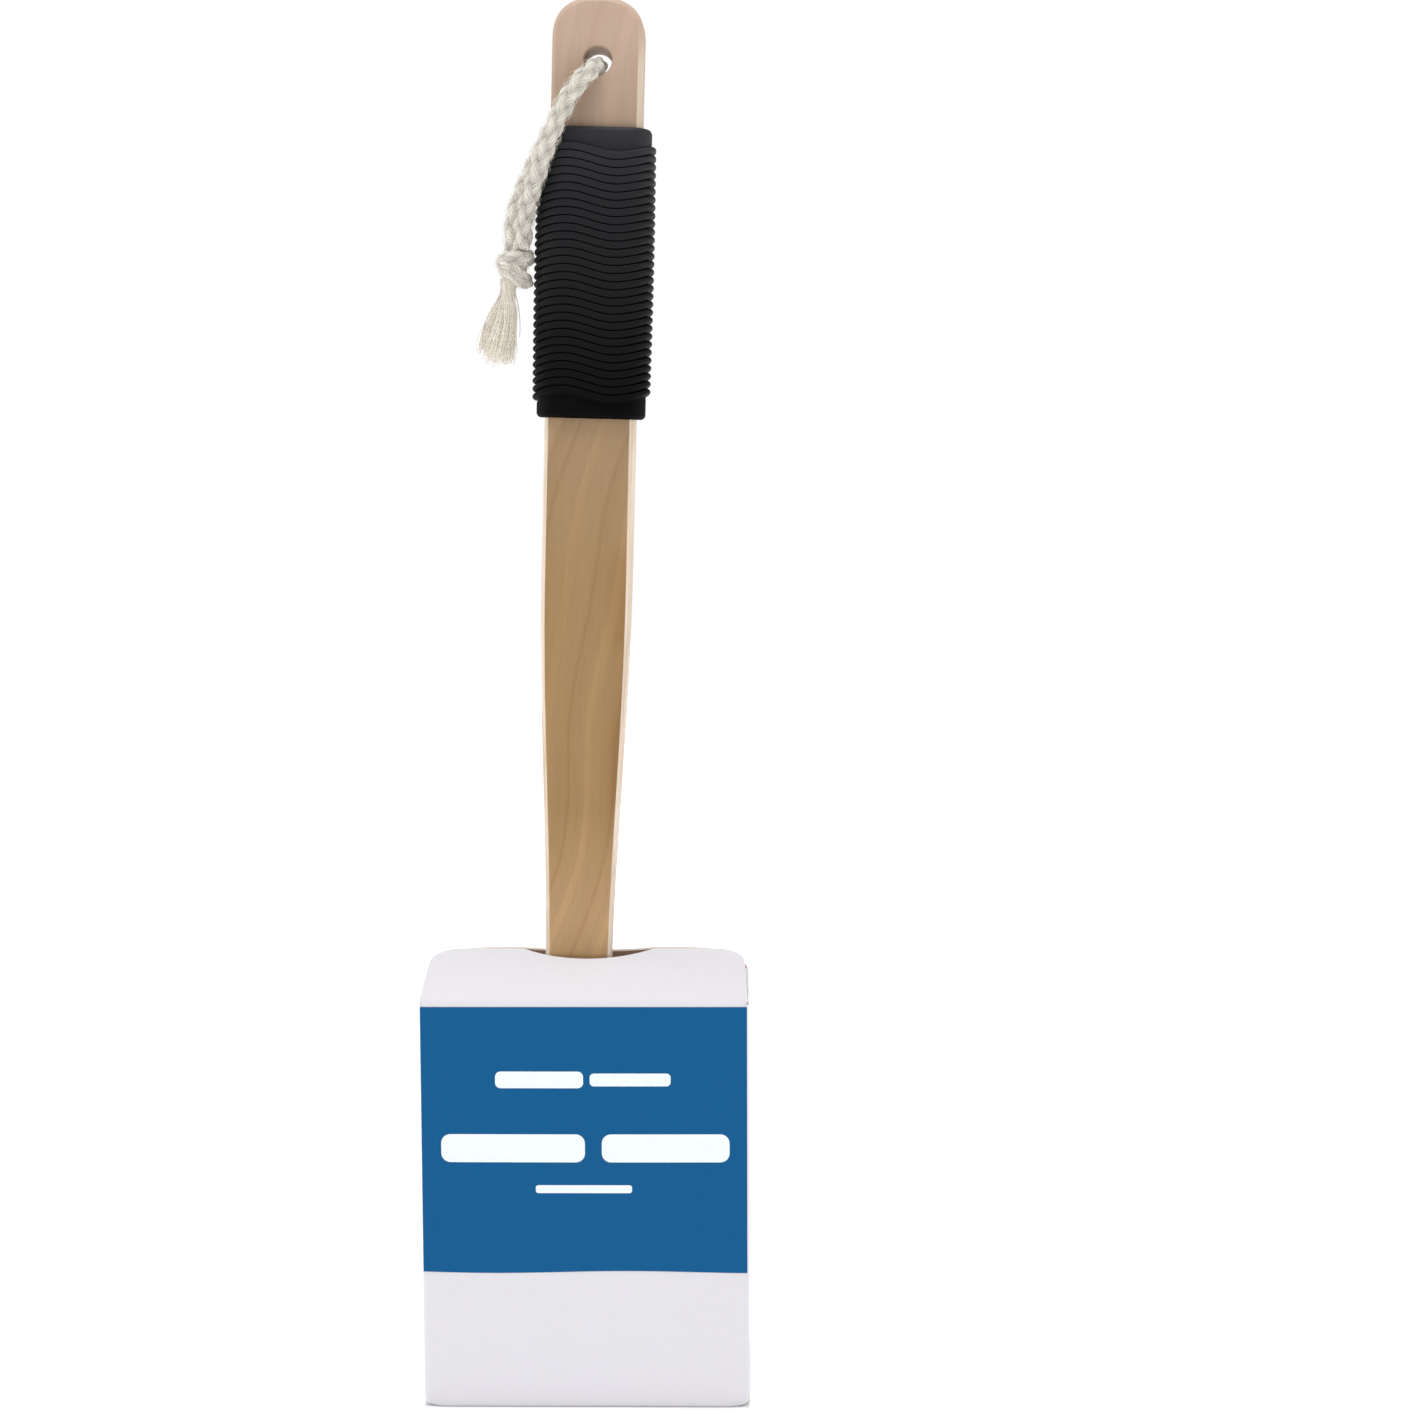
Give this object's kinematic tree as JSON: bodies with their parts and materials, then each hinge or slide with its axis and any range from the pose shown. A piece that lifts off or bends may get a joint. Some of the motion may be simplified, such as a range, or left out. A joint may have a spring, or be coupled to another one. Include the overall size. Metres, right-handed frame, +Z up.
{
  "type": "loofah back scrubber",
  "caption": "Long flat wooden handle with a ribbed rubber grip and a knotted cotton hanging rope, its loofah head standing inside an upright paperboard carton with a sloping notched top.",
  "frame": {"origin": "centre of the carton's underside, on the surface that it stands on", "axes": "+Z up along the carton and the handle, +Y towards the carton's back, so the front with the label faces -Y"},
  "size_m": [0.101, 0.06, 0.432],
  "materials": {
    "carton_board": "satin white outside, brown inside",
    "label_paper": "satin print",
    "handle_wood": "smooth matte lacquer",
    "grip_rubber": "matte",
    "rope_cotton": "soft twisted cotton",
    "loofah": "open fibrous net",
    "foam": "open cell foam",
    "binding_tape": "woven tape",
    "rivet_steel": "satin"
  },
  "bodies": {
    "carton": {"front_panel": "carton_board", "back_panel": "carton_board", "left_panel": "carton_board", "right_panel": "carton_board", "glue_tab": "carton_board", "bottom_outer_flap": "carton_board", "bottom_inner_flap": "carton_board", "bottom_left_dust_flap": "carton_board", "bottom_right_dust_flap": "carton_board", "front_label": "label_paper"},
    "brush": {"handle": "handle_wood", "grip_sleeve": "grip_rubber", "foam_core": "foam", "loofah_front": "loofah", "loofah_back": "loofah", "edge_binding": "binding_tape", "pad_rivet_upper": "rivet_steel", "pad_rivet_lower": "rivet_steel"},
    "rope": {"hang_rope": "rope_cotton", "rope_knot": "rope_cotton", "rope_tail_front": "rope_cotton", "rope_tail_rear": "rope_cotton"},
    "front_flap": {"front_roof_flap": "carton_board"},
    "rear_flap": {"rear_roof_flap": "carton_board"},
    "left_flap": {"left_dust_flap": "carton_board"},
    "right_flap": {"right_dust_flap": "carton_board"}
  },
  "joints": [
    {"name": "brush_lift", "type": "slide", "parent": "carton", "child": "brush", "axis": [0.03, 0, 0.9995], "range_m": [0, 0.13]},
    {"name": "rope_swing", "type": "hinge", "parent": "brush", "child": "rope", "pos_m": [0.00522, 0, 0.41242], "axis": [0, 1, 0], "range_deg": [0, 158]},
    {"name": "front_flap_fold", "type": "hinge", "parent": "carton", "child": "front_flap", "pos_m": [0, -0.0292, 0.1278], "axis": [1, 0, 0], "range_deg": [0, 180]},
    {"name": "rear_flap_fold", "type": "hinge", "parent": "carton", "child": "rear_flap", "pos_m": [0, 0.0297, 0.1278], "axis": [-1, 0, 0], "range_deg": [0, 180]},
    {"name": "left_flap_fold", "type": "hinge", "parent": "carton", "child": "left_flap", "pos_m": [-0.0502, 0, 0.1266], "axis": [0, -1, 0], "range_deg": [0, 200]},
    {"name": "right_flap_fold", "type": "hinge", "parent": "carton", "child": "right_flap", "pos_m": [0.0502, 0, 0.1266], "axis": [0, 1, 0], "range_deg": [0, 200]}
  ],
  "couplings": [
    {"joint": "front_flap_fold", "follows": "brush_lift", "rad_per_m": 24.1},
    {"joint": "rear_flap_fold", "follows": "brush_lift", "rad_per_m": 24.1},
    {"joint": "left_flap_fold", "follows": "brush_lift", "rad_per_m": 26.8},
    {"joint": "right_flap_fold", "follows": "brush_lift", "rad_per_m": 26.8}
  ]
}
